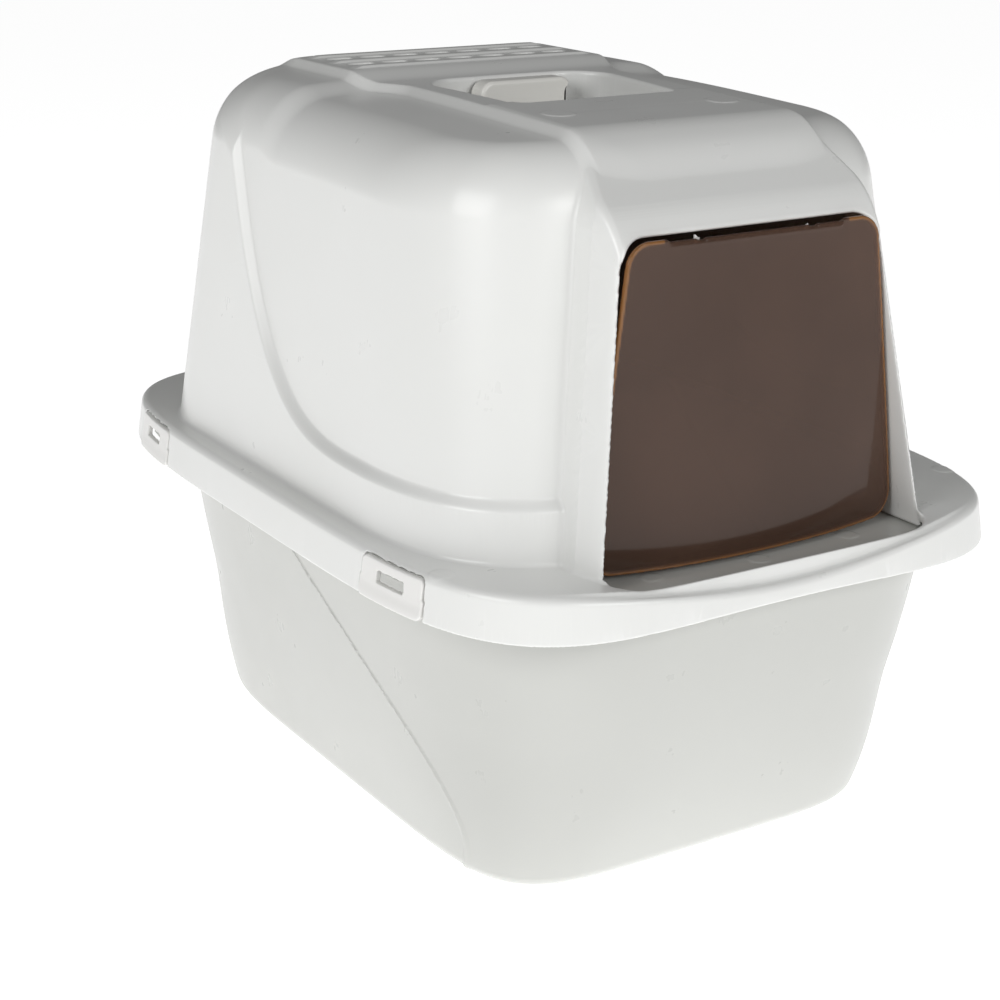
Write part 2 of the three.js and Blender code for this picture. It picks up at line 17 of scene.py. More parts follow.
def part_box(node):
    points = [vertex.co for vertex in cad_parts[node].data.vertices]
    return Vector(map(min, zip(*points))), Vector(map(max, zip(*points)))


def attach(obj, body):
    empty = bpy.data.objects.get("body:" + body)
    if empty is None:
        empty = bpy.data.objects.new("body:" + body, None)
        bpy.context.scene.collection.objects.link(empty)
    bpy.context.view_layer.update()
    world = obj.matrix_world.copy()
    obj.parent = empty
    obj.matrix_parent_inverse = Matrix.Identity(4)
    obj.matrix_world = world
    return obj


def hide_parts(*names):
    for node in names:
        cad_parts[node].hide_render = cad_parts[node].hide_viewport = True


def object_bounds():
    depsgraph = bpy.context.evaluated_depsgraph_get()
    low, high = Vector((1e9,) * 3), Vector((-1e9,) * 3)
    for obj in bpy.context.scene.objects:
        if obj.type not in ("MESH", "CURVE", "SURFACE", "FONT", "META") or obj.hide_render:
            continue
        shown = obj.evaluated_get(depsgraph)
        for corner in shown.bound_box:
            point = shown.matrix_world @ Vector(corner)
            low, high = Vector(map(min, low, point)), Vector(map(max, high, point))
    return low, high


MM = 0.001

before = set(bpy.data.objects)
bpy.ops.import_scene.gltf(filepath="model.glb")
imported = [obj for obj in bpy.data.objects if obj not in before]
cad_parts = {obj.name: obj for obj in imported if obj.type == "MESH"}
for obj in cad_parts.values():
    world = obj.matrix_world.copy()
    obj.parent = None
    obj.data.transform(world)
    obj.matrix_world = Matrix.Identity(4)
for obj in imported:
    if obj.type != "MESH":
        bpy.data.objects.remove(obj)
cad_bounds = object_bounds()

# ---- sizes ---------------------------------------------------------------------------------

LOW = [value / MM for value in cad_bounds[0]]
HIGH = [value / MM for value in cad_bounds[1]]
RIM_HALF_X = (HIGH[0] - LOW[0]) / 2
RIM_HALF_Y = (HIGH[1] - LOW[1]) / 2
OVERALL_HEIGHT = HIGH[2]

# Rim of the hood
RIM_POWER = 4.75
RIM_TOP = 186.0
SKIRT_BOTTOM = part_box("hood_shell")[0][2] / MM
SKIRT_LIFT = 2.9
SKIRT_FLARE = 3.4
RIM_EDGE = 4.0
ENTRY_DIP = 11.4
ENTRY_HALF = 146.0
LIP_INSET = 7.5
LIP_DROP = 3.5
WALL = 2.6

# Hood body, measured where it stands on the flange
BODY_HALF_X = 161.5
BODY_FRONT = 197.5
BODY_BACK = 188.0
SIDE_LEAN = 0.098
FRONT_LEAN = 0.157
BACK_LEAN = 0.146
BODY_CORNER = 74.0
FACET_EDGE = 46.0
SHOULDER_RADIUS = 34.0
ROOF_FRONT = 383.5
ROOF_RISE = 4.0
RIB_HEIGHT = 1.3
ROOF_TOP = OVERALL_HEIGHT - RIB_HEIGHT
BAND_HALF = 68.0
BAND_SPREAD = 14.0
RAIL_WIDTH = 6.5
PANEL_DEPTH = 4.5
LEDGE_HEIGHT = 211.0
SWOOSH_FRONT = -85.0
SWOOSH_BACK = 80.0
SWOOSH_RISE = 134.0
SWOOSH_POWER = 3.2

# Front frame round the entry
FRAME_FOOT_HALF = 96.4
FRAME_FOOT_Y = -218.8
FRAME_FOOT_Z = 199.5
FRAME_NARROW = 0.1386
FRAME_LEAN = 0.1454
FRAME_TURN = 343.0
FRAME_FLARE = 0.33
BROW_SLOPE = 0.74
BROW_TOP = -141.0
ENTRY_TOP = 340.6
ENTRY_BOTTOM = 184.2
ENTRY_CORNER = 13.0
JAMB_BACK = -188.0
JAMB_WALL = 3.0
LEDGE_TOP = 176.0

# Vent, carry recess and grip in the roof
SLOT_HALF = (7.75, 3.75)
SLOT_PITCH = (21.5, 26.0)
SLOT_COUNT = (7, 3)
VENT_Y = 106.0
RIB_FIRST = 64.0
RIB_HALF = 81.0
RECESS_FRONT = -63.5
RECESS_BACK = 33.0
RECESS_HALF = 50.0
RECESS_FLOOR = 345.5
RECESS_WALL = 2.5
GRIP_RISE = 3.5
GRIP_REACH = 14.0

# Pan
PAN_WALL = 3.0
PAN_EDGE = 9.0
PAN_CREASE_DEPTH = 0.9
PAN_BEAD = 1.0
SEAT = RIM_TOP - WALL - 0.3
SILL_DROP = 7.1
SILL_BACK = -183.0

# Latches
LATCH_Y = 143.0
LATCH_HALF = 26.0
LATCH_TOP = 183.3
LATCH_BOTTOM = SKIRT_BOTTOM + 0.2
LATCH_THICK = 2.4
LATCH_PROUD = 0.5
WINDOW_Z = (RIM_TOP + SKIRT_BOTTOM) / 2 + 1
WINDOW_HALF = (11.0, 3.0)

# Door flap
FLAP_THICK = 2.6
FLAP_GAP = 1.7
FLAP_BOTTOM = 178.8
FLAP_CORNER = 15.0
FLAP_BULGE = 10.0
FLAP_HEAD_CORNER = 11.0
FLAP_EDGE_BAND = 1.5
FLAP_TOP = 340.1
HINGE_HALF = 52.0

FLAP_Y = (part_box("door_flap")[0][1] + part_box("door_flap")[1][1]) / 2 / MM
PIVOT_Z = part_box("door_flap")[1][2] / MM - 2.2
BOW_START = 6.0

# Hooks of the hood behind the flap's bar, and the notches for them in the pane
HOOK_X = 34.0
HOOK_HALF = 1.7
HOOK_FRONT = 2.7
HOOK_BACK = 4.1
HOOK_DROP = 1.2
HOOK_NOTCH_HALF = 2.3

# ---- distances -----------------------------------------------------------------------------


def smooth_step(low, high, value):
    t = np.clip((value - low) / (high - low), 0, 1)
    return t * t * (3 - 2 * t)


def round_max(a, b, radius):
    """The larger of two distances, with the edge between them rounded."""
    outside = np.hypot(np.maximum(a + radius, 0), np.maximum(b + radius, 0))
    return np.minimum(np.maximum(a, b), -radius) + outside


def round_min(a, b, radius):
    return -round_max(-a, -b, radius)


def super_distance(x, y, half_x, half_y, power):
    """Distance outside a superellipse, true near its edge."""
    u = np.abs(x) / half_x + 1e-9
    v = np.abs(y) / half_y + 1e-9
    size = (u**power + v**power) ** (1 / power)
    slope = np.hypot((u / size) ** (power - 1) / half_x, (v / size) ** (power - 1) / half_y)
    return (size - 1) / slope


def box_distance(x, y, z, low, high, radius):
    """Distance outside a box with rounded edges."""
    parts = [
        np.abs(value - (a + b) / 2) - (b - a) / 2 + radius
        for value, a, b in zip((x, y, z), low, high)
    ]
    outside = np.sqrt(sum(np.maximum(part, 0) ** 2 for part in parts))
    return outside + np.minimum(np.maximum.reduce(parts), 0) - radius


# ---- hood ----------------------------------------------------------------------------------


def frame_half(z):
    """Half the width of the frame round the entry, at a height."""
    foot = FRAME_FOOT_HALF - FRAME_NARROW * (np.minimum(z, FRAME_TURN) - FRAME_FOOT_Z)
    return foot - 0.2 * np.maximum(z - FRAME_TURN, 0)


def frame_face(z):
    """Where the face of that frame lies along Y, at a height."""
    return FRAME_FOOT_Y + FRAME_LEAN * (z - FRAME_FOOT_Z)


def disc(x, y, centre_x, centre_y, radius, soft=0.9):
    """1 on a round pip, falling to 0 round its edge."""
    return 1 - smooth_step(radius - soft, radius + soft, np.hypot(x - centre_x, y - centre_y))


def roof_height(x, y):
    """Height of the roof: a long rise, the vent plateau, its ribs and two moulding discs."""
    half = np.abs(x)
    rise = ROOF_RISE * smooth_step(-190, 20, y)
    plateau = (ROOF_TOP - ROOF_FRONT - ROOF_RISE) * smooth_step(36, 60, y)
    fall = 0.0009 * np.maximum(half - 60, 0) ** 2
    row = np.clip(np.round((y - RIB_FIRST) / SLOT_PITCH[1]), 0, SLOT_COUNT[1] - 1)
    across = np.abs(y - RIB_FIRST - row * SLOT_PITCH[1])
    rib = (1 - smooth_step(2.3, 4.6, across)) * (1 - smooth_step(RIB_HALF - 9, RIB_HALF, half))
    disc_height = 0.45 * disc(half, y, 51, -100, 8.6, 0.7)
    return ROOF_FRONT + rise + plateau - fall + RIB_HEIGHT * rib + disc_height


def panel_share(x, y, z):
    """How far a place lies inside the sunken side panel, from 0 to 1.

    The panel ends below at a ledge that sweeps up the side, over the rear shoulder and on to the
    roof, and above at the rail beside the roof band."""
    reach = np.clip((y - SWOOSH_FRONT) / (SWOOSH_BACK - SWOOSH_FRONT), 0, 1)
    over = np.clip((y - SWOOSH_BACK) / 70, 0, 1)
    edge = LEDGE_HEIGHT + SWOOSH_RISE * reach**SWOOSH_POWER + 42 * over**0.85
    slope = SWOOSH_RISE * SWOOSH_POWER / (SWOOSH_BACK - SWOOSH_FRONT) * reach ** (SWOOSH_POWER - 1)
    above = (z - edge) / np.hypot(1, slope)
    band = BAND_HALF + BAND_SPREAD * smooth_step(12, 58, y)
    beside = np.abs(x) - band
    return smooth_step(0, RAIL_WIDTH, above) * smooth_step(0, RAIL_WIDTH, beside)


def hood_distance(x, y, z):
    """Distance outside the dome of the hood and the frame round its entry."""
    half = np.abs(x)
    up = z - RIM_TOP
    side = half - BODY_HALF_X + SIDE_LEAN * up
    ends = np.maximum(-y - BODY_FRONT + FRONT_LEAN * up, y - BODY_BACK + BACK_LEAN * up)
    corner = round_max(side, ends, BODY_CORNER)
    facet = (side + ends) / math.sqrt(2) + BODY_CORNER * (math.sqrt(2) - 1) - 1.2
    faceted = round_max(round_max(side, facet, FACET_EDGE), ends, FACET_EDGE)
    plan = np.where(y < 0, 0.35 * corner + 0.65 * faceted, corner)
    top = z - roof_height(x, y)
    body = round_max(plan, top, SHOULDER_RADIUS) + PANEL_DEPTH * panel_share(x, y, z)
    forward = frame_face(z) - y
    flare = FRAME_FLARE * np.clip(-forward, 0, 20) * (1 - smooth_step(345, 383, z))
    cheek = (half - frame_half(z) - flare) / math.hypot(1, FRAME_FLARE)
    brow = (z - ROOF_FRONT + BROW_SLOPE * (BROW_TOP - y)) / math.hypot(1, BROW_SLOPE)
    face = round_max(forward, brow, 16)
    front = round_max(round_max(cheek, face, 3), np.maximum(top, y + 60), 3)
    return round_min(body, front, 2.5)


def entry_share(x, y):
    """1 at the middle of the entry, falling to 0 at the ends of the lowered rim."""
    turned = np.cos(np.clip(x / ENTRY_HALF, -1, 1) * math.pi / 2) ** 2
    return np.where(y < 0, turned, 0)


def rim_distance(x, y):
    return super_distance(x, y, RIM_HALF_X, RIM_HALF_Y, RIM_POWER)


def skirt_distance(rim, z):
    """Distance outside the leaning face of the skirt."""
    return rim + SKIRT_FLARE * np.clip((z - SKIRT_BOTTOM) / (RIM_TOP - SKIRT_BOTTOM), -0.2, 1)


def flange_top(share, rim):
    """Height of the flange: lowered outside the lip at the entry, with a groove along the lip."""
    inside = smooth_step(-LIP_INSET + 1.4, -LIP_INSET - 0.6, rim)
    groove = 0.7 * np.exp(-(((rim + LIP_INSET - 2.6) / 1.2) ** 2))
    outer = ENTRY_DIP * share
    inner = LIP_DROP * smooth_step(0.05, 0.5, share)
    return RIM_TOP - outer + (outer - inner) * inside - groove * smooth_step(0, 0.4, share)


def latch_frame(x, y):
    """Distance along and out from the middle of the nearest latch."""
    near = super_x(LATCH_Y - LATCH_HALF)
    far = super_x(LATCH_Y + LATCH_HALF)
    length = math.hypot(2 * LATCH_HALF, near - far)
    out = (2 * LATCH_HALF / length, (near - far) / length)
    from_x = np.abs(x) - (near + far) / 2
    from_y = np.abs(y) - LATCH_Y
    return out[0] * from_y - out[1] * from_x, out[0] * from_x + out[1] * from_y


def super_x(y):
    """Half the width of the skirt's middle line, at a place along Y."""
    half_x = RIM_HALF_X - SKIRT_FLARE / 2
    half_y = RIM_HALF_Y - SKIRT_FLARE / 2
    return half_x * (1 - (y / half_y) ** RIM_POWER) ** (1 / RIM_POWER)


def latch_outline(along, z, grow):
    """The rounded outline of a latch, with a small step halfway up its ends."""
    step = 0.9 * smooth_step(172.5, 173.5, z)
    ends = np.abs(along) - LATCH_HALF + 0.6 + step - grow
    height = np.maximum(z - LATCH_TOP - grow, LATCH_BOTTOM - 2 * grow - z)
    return round_max(ends, height, 3.5)


def entry_prism(x, z, bottom):
    """The outline of the way in, seen from the front."""
    side = (np.abs(x) - frame_half(z)) / math.hypot(1, FRAME_NARROW)
    ends = np.maximum(z - ENTRY_TOP, bottom - z)
    return round_max(side, ends, ENTRY_CORNER)


def entry_space(x, y, z, rim):
    """The space that is cut for the way in, down to the sill behind the lip."""
    upper = np.maximum(entry_prism(x, z, ENTRY_BOTTOM), y - JAMB_BACK - 12)
    side = (np.abs(x) - frame_half(z)) / math.hypot(1, FRAME_NARROW)
    behind = round_max(side, rim + LIP_INSET + WALL, ENTRY_CORNER)
    lower = np.maximum(behind, np.maximum(y - JAMB_BACK - 12, z - FRAME_FOOT_Z))
    return np.minimum(upper, lower)


def recess_outline(x, y):
    """Outline of the carry recess, wider and rounder at its rear edge."""
    half = RECESS_HALF + 8 * (y - RECESS_FRONT) / (RECESS_BACK - RECESS_FRONT)
    rear = y - RECESS_BACK + 0.0009 * x * x
    radius = 6 + 18 * smooth_step(-45, 5, y)
    return round_max(np.abs(x) - half, np.maximum(RECESS_FRONT - y, rear), radius)


def vent_slots(x, y):
    """Distance outside the nearest slot of the vent."""
    middle = [0, VENT_Y]
    folded = []
    for value, centre, pitch, count in zip((x, y), middle, SLOT_PITCH, SLOT_COUNT):
        limit = (count - 1) / 2
        place = np.clip(np.round((value - centre) / pitch), -limit, limit)
        folded.append(value - centre - place * pitch)
    return super_distance(folded[0], folded[1], SLOT_HALF[0], SLOT_HALF[1], 2.5)


def hood_field(x, y, z):
    """The whole hood: dome, flange and skirt, entry, carry recess, vent and hooks, as one wall."""
    dome = hood_distance(x, y, z)
    rim = rim_distance(x, y)
    share = entry_share(x, y)
    skirt = skirt_distance(rim, z)
    top = flange_top(share, rim)
    flange_pips = 0.4 * disc(np.abs(x), y, 160, -171, 6.2)
    edge = round_max(skirt, z - top - flange_pips, RIM_EDGE)
    edge = round_max(edge, SKIRT_BOTTOM + SKIRT_LIFT * share - z, 1.1)
    outer = round_min(np.maximum(dome, SKIRT_BOTTOM + 8 - z), edge, 2.2)
    below = RIM_TOP - ENTRY_DIP * share - WALL - 0.7 * smooth_step(0, 0.4, share)
    under = round_max(skirt + WALL, z - below, 2.0)
    shell = round_max(outer, -np.minimum(dome + WALL, under), 0.4)

    prism = entry_prism(x, z, LEDGE_TOP - ENTRY_CORNER)
    jamb = np.maximum(np.maximum(prism - JAMB_WALL, y - JAMB_BACK), dome)
    jamb = np.maximum(jamb, np.maximum(LEDGE_TOP + 0.7 - z, rim + LIP_INSET + WALL))
    shell = np.minimum(shell, jamb)

    recess = recess_outline(x, y)
    pocket = round_max(recess - RECESS_WALL, RECESS_FLOOR - RECESS_WALL - z, 7)
    shell = np.minimum(shell, np.maximum(pocket, dome))
    shell = round_max(shell, -round_max(recess, RECESS_FLOOR - z, 6), 2.0)

    slots = np.maximum(vent_slots(x, y), ROOF_FRONT - 10 - z)
    shell = round_max(shell, -slots, 0.9)
    shell = round_max(shell, -entry_space(x, y, z, rim), 2.4)

    along, out = latch_frame(x, y)
    notch = np.maximum(latch_outline(along, np.maximum(z, LATCH_BOTTOM + 4), 0.6), -skirt - 4.5)
    shell = round_max(shell, -np.maximum(notch, -out - 12), 0.9)

    hook_x = np.abs(x) - HOOK_X
    low = (-HOOK_HALF, FLAP_Y + HOOK_FRONT, PIVOT_Z - HOOK_DROP)
    high = (HOOK_HALF, FLAP_Y + HOOK_BACK, ENTRY_TOP + 2)
    return np.minimum(shell, box_distance(hook_x, y, z, low, high, 0.4))


# ---- pan -----------------------------------------------------------------------------------


def pan_wall(x, y, z):
    """Distance outside the tapered wall of the pan."""
    half_x = 129.3 + 0.1845 * z - 0.00028 * z * z
    half_y = 177.6 + 0.421 * z - 0.00092 * z * z
    power = 5.9 - 1.6 * smooth_step(0, 90, z)
    return super_distance(x, y, half_x, half_y, power)


def pan_crease(z):
    """Where the swept crease on the side of the pan lies along Y, at a height."""
    return -131.5 - 0.861 * z + 0.02196 * z**2 - 0.0000617 * z**3


def sill_share(x, y):
    """1 along the sill at the front of the pan, falling to 0 at its ends."""
    return np.where(y < 0, 1 - smooth_step(ENTRY_HALF * 0.93, ENTRY_HALF * 1.12, np.abs(x)), 0)


def pan_field(x, y, z):
    """The pan: its creased and tapered wall, the ledge under the hood, the sill and four teeth."""
    wall = pan_wall(x, y, z)
    sunk = PAN_CREASE_DEPTH * smooth_step(0, 3.0, (y - pan_crease(z)) * 0.8)
    bead = PAN_BEAD * np.exp(-(((y - pan_crease(z)) / 2.2) ** 2))
    outer = round_max(wall + sunk - bead, -z, PAN_EDGE)
    share = sill_share(x, y)
    rim = rim_distance(x, y)
    seat = SEAT - SILL_DROP * share
    pips = sum(disc(x, y, at, front, 5.8) for at, front in ((-62, -205), (-1, -211), (61, -206)))
    ledge_edge = rim + LIP_INSET + WALL + 0.9
    ledge = round_max(ledge_edge, z - seat - 0.55 * pips, 1.2)
    ledge = np.maximum(ledge, seat - 12 - z)
    hollow = round_max(ledge_edge + WALL, z - seat + WALL, 1.5)
    ledge = np.maximum(ledge, -hollow)
    body = np.maximum(outer, z - seat)
    inside = wall + sunk + PAN_WALL
    sill = SILL_BACK + 6 * np.clip((seat - PAN_WALL - z) / 6, -1, 0)
    over = np.where(z > seat - 11, (sill - y) * share - 60 * (1 - share), -60)
    inside = round_max(np.maximum(inside, over), PAN_WALL - z, PAN_EDGE - PAN_WALL)
    shell = round_max(round_min(body, ledge, 1.5), -inside, 0.8)

    along, out = latch_frame(x, y)
    reach = -1.4
    tooth = box_distance(along, out, z, (-9, reach - 8, WINDOW_Z - 2), (9, reach, WINDOW_Z + 2), 0.6)
    return np.minimum(shell, tooth)


# ---- smaller pieces ------------------------------------------------------------------------


def latch_field(x, y, z):
    """One latch, bent to the skirt and over its top edge, with its window and a flared foot."""
    rim = rim_distance(x, y)
    skirt = round_max(skirt_distance(rim, z), z - RIM_TOP, RIM_EDGE)
    foot = 0.55 * smooth_step(171, 164, z)
    along, out = latch_frame(x, y)
    plate = np.maximum(skirt - LATCH_PROUD - foot, -(skirt + LATCH_THICK))
    outline = latch_outline(along, z, 0)
    plate = round_max(plate, outline, 0.7)
    window = round_max(
        np.abs(along) - WINDOW_HALF[0], np.abs(z - WINDOW_Z) - WINDOW_HALF[1], 0.8
    )
    return round_max(np.maximum(plate, -out - 12), -window, 0.4)


def flap_outline(x, z):
    """The pane from the front: its foot a shallow arc, its top set down between the hinge ends."""
    side = (np.abs(x) - frame_half(z) + FLAP_GAP) / math.hypot(1, FRAME_NARROW)
    foot = FLAP_BOTTOM + 1.2 * (x / 90) ** 4 - z
    head = z - FLAP_TOP + 1.2 * (1 - smooth_step(HINGE_HALF, HINGE_HALF + 2.5, np.abs(x)))
    lower = round_max(side, foot, FLAP_CORNER)
    return round_max(np.where(z < 260, lower, side), head, FLAP_HEAD_CORNER)


def flap_centre(x, z):
    """Where the middle of the pane lies along Y: it bows forward towards its foot."""
    drop = np.clip((PIVOT_Z - BOW_START - z) / (PIVOT_Z - FLAP_BOTTOM), 0, 1)
    return FLAP_Y - FLAP_BULGE * drop**1.4 * (1 - (x / FRAME_FOOT_HALF) ** 2)


def flap_field(x, y, z):
    """The tinted door: a bowed pane with a softened edge, notched at the hooks, and its hinge bar."""
    pane = np.abs(y - flap_centre(x, z)) - FLAP_THICK / 2
    pane = round_max(flap_outline(x, z), pane, 0.7)
    notch = round_max(np.abs(np.abs(x) - HOOK_X) - HOOK_NOTCH_HALF, PIVOT_Z - HOOK_DROP - z, 0.6)
    bar = np.hypot(y - FLAP_Y, z - PIVOT_Z) - 1.7
    bar = round_max(bar, np.abs(x) - HINGE_HALF, 0.6)
    return round_min(round_max(pane, -notch, 0.4), bar, 0.6)


def painted_edge_glow_share(x, z):
    """1 on the band along the pane's edge where the amber glow is painted, 0 further in and beside the
    hinge.
    """
    band = smooth_step(-FLAP_EDGE_BAND - 0.6, -FLAP_EDGE_BAND + 0.4, flap_outline(x, z))
    return band * ((z < PIVOT_Z - BOW_START) | (np.abs(x) > HINGE_HALF + 4))


grip_low, grip_high = ([value / MM for value in corner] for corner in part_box("carry_grip"))


def grip_field(x, y, z):
    """The block that the fingers close on inside the carry recess, hollow behind."""
    mid = (grip_low[1] + grip_high[1]) / 2
    top = grip_high[2] + GRIP_RISE
    block = round_max(np.maximum(grip_low[0] - x, x - grip_high[0] - GRIP_REACH), z - top, 8)
    block = np.maximum(block, grip_low[2] - z)
    block = round_max(block, np.abs(y - mid) - (grip_high[1] - grip_low[1]) / 2, 2.2)
    inner = (grip_low[0] + 5, grip_low[1] + 4, grip_low[2] + 5)
    hollow = box_distance(x, y, z, inner, (grip_high[0] + GRIP_REACH - 5, grip_high[1] + 9, top - 5), 4)
    return np.maximum(block, -hollow)


pad_low, pad_high = ([value / MM for value in corner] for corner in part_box("filter_pad"))
tray_low, tray_high = ([value / MM for value in corner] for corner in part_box("filter_tray"))


def pad_field(x, y, z):
    """A felt pad with soft edges, pressed a little uneven."""
    wave = 0.25 * np.sin(x * 0.19 + 1.3) * np.sin(y * 0.23) + 0.12 * np.sin(x * 0.71) * np.sin(y * 0.63)
    return box_distance(x, y, z, pad_low, pad_high, 2.2) + 0.3 + wave


def tray_field(x, y, z):
    """The tray under the pad: a rim and floor pierced by rows of rounded windows."""
    outer = box_distance(x, y, z, tray_low, tray_high, 1.2)
    inner = (tray_low[0] + 2, tray_low[1] + 2, tray_low[2] + 2)
    space = box_distance(x, y, z, inner, (tray_high[0] - 2, tray_high[1] - 2, tray_high[2] + 9), 1)
    holes_x, holes_y = 8, 3
    pitch_x = (tray_high[0] - tray_low[0] - 6) / holes_x
    pitch_y = (tray_high[1] - tray_low[1] - 6) / holes_y
    local_x = np.mod(x - tray_low[0] - 3, pitch_x) - pitch_x / 2
    local_y = np.mod(y - tray_low[1] - 3, pitch_y) - pitch_y / 2
    hole = round_max(np.abs(local_x) - pitch_x / 2 + 1.6, np.abs(local_y) - pitch_y / 2 + 1.6, 3)
    hole = np.maximum(hole, np.maximum(z - tray_low[2] - 2.5, box_edge(x, y) + 3))
    return round_max(np.maximum(outer, -space), -hole, 0.4)


def box_edge(x, y):
    """Distance outside the tray's outline."""
    beside = np.abs(x) - tray_high[0]
    beyond = np.abs(y - (tray_low[1] + tray_high[1]) / 2) - (tray_high[1] - tray_low[1]) / 2
    return np.maximum(beside, beyond)


# ---- meshing -------------------------------------------------------------------------------

# Grid cells along a block's side, blocks worked out at once, and reaches in cells or block sides
BLOCK = 4
CHUNK = 7000
BAND_CELLS = 2.5
SKIN_BLOCKS = 1.45
MARGIN_CELLS = 3

# Rounds and shares of the slides along the skin
DRAW_ROUNDS = 3
EVEN_ROUNDS = 4
EVEN_SHARE = 0.6
UNFOLD_ROUNDS = 8
UNFOLD_SHARE = 0.7

# A triangle counts as folded when its facing, against its skin's, falls below this cosine
FOLD = 0.5

# How far from a point the skin's slope is read, in millimetres
DRAW_REACH = 0.04
NORMAL_REACH = 0.3


def sampled(field, low, high, step):
    """The field on a regular grid, worked out only in the blocks that its skin can cross."""
    low = np.array(low, np.float64)
    blocks = np.ceil((np.array(high) - low) / step / BLOCK).astype(int) + 1
    band = BAND_CELLS * step
    side = BLOCK * step
    axes = [low[i] + (np.arange(blocks[i]) + 0.5) * side for i in range(3)]
    centres = np.stack(np.meshgrid(*axes, indexing="ij"), -1)
    middle = field(centres[..., 0], centres[..., 1], centres[..., 2])
    grid = np.repeat(np.repeat(np.repeat(np.sign(middle) * band, BLOCK, 0), BLOCK, 1), BLOCK, 2)
    grid = grid.astype(np.float32)
    active = np.argwhere(np.abs(middle) < side * SKIN_BLOCKS)
    offsets = np.stack(np.meshgrid(*[np.arange(BLOCK)] * 3, indexing="ij"), -1)
    for start in range(0, len(active), CHUNK):
        corner = active[start : start + CHUNK] * BLOCK
        cells = corner[:, None, None, None, :] + offsets[None]
        places = low + cells * step
        values = field(places[..., 0], places[..., 1], places[..., 2])
        grid[cells[..., 0], cells[..., 1], cells[..., 2]] = np.clip(values, -band, band)
    return grid, low


def slope_of(field, points, reach):
    """The field's gradient at each point."""
    slopes = []
    for axis in range(3):
        nudge = np.zeros(3)
        nudge[axis] = reach
        ahead, behind = points + nudge, points - nudge
        slopes.append((field(*ahead.T) - field(*behind.T)) / (2 * reach))
    return np.stack(slopes, -1)


def drawn_on(field, points, step):
    """Points moved on to the field's skin, with the way out of it at each."""
    value = field(*points.T)
    slope = np.empty_like(points)
    for axis in range(3):
        nudge = np.zeros(3)
        nudge[axis] = DRAW_REACH
        slope[:, axis] = (field(*(points + nudge).T) - value) / DRAW_REACH
    size = np.maximum(np.linalg.norm(slope, axis=1), 0.3)
    move = np.clip(value / size, -0.5 * step, 0.5 * step)
    outward = slope / size[:, None]
    return points - move[:, None] * outward, outward


def evened(points, outward, quads, rounds):
    """Points slid along the skin towards the middle of their neighbours."""
    ends = np.concatenate([quads[:, [i, (i + 1) % 4]] for i in range(4)])
    count = np.maximum(np.bincount(ends[:, 0], minlength=len(points)), 1)[:, None]
    for _ in range(rounds):
        total = [np.bincount(ends[:, 0], points[ends[:, 1], i], len(points)) for i in range(3)]
        shift = np.stack(total, -1) / count - points
        shift -= (shift * outward).sum(1)[:, None] * outward
        points = points + EVEN_SHARE * shift
    return points


def thinned(piece, target):
    """Fewer faces where the skin is flat. The mesh is still in millimetres here: in metres the
    modifier takes a tenth of a millimetre for nothing and leaves slivers."""
    triangles = 2 * len(piece.data.polygons)
    if triangles > target:
        thin = piece.modifiers.new("thin", "DECIMATE")
        thin.ratio = target / triangles
        evaluated = piece.evaluated_get(bpy.context.evaluated_depsgraph_get())
        painted_edge_highlight = bpy.data.meshes.new_from_object(evaluated)
        piece.modifiers.clear()
        heavy, piece.data = piece.data, painted_edge_highlight
        bpy.data.meshes.remove(heavy)


def unfolded(field, points, mesh, step):
    """Points drawn on to the skin, with the corners of folded triangles slid apart."""
    edges = np.empty(len(mesh.edges) * 2, np.int32)
    mesh.edges.foreach_get("vertices", edges)
    edges = edges.reshape(-1, 2)
    ends = np.concatenate([edges, edges[:, ::-1]])
    count = np.maximum(np.bincount(ends[:, 0], minlength=len(points)), 1)[:, None]
    mesh.calc_loop_triangles()
    corners = np.empty(len(mesh.loop_triangles) * 3, np.int32)
    mesh.loop_triangles.foreach_get("vertices", corners)
    corners = corners.reshape(-1, 3)
    for _ in range(UNFOLD_ROUNDS):
        points, outward = drawn_on(field, points, step)
        a, b, c = (points[corners[:, i]] for i in range(3))
        face = np.cross(b - a, c - a)
        face /= np.maximum(np.linalg.norm(face, axis=1), 1e-12)[:, None]
        skin = outward[corners].sum(1)
        facing = (face * skin).sum(1) / np.maximum(np.linalg.norm(skin, axis=1), 1e-12)
        loose = np.unique(corners[facing * np.sign(np.median(facing)) < FOLD])
        total = [np.bincount(ends[:, 0], points[ends[:, 1], i], len(points)) for i in range(3)]
        shift = (np.stack(total, -1) / count - points)[loose]
        shift -= (shift * outward[loose]).sum(1)[:, None] * outward[loose]
        points[loose] += UNFOLD_SHARE * shift
    return drawn_on(field, points, step)[0]


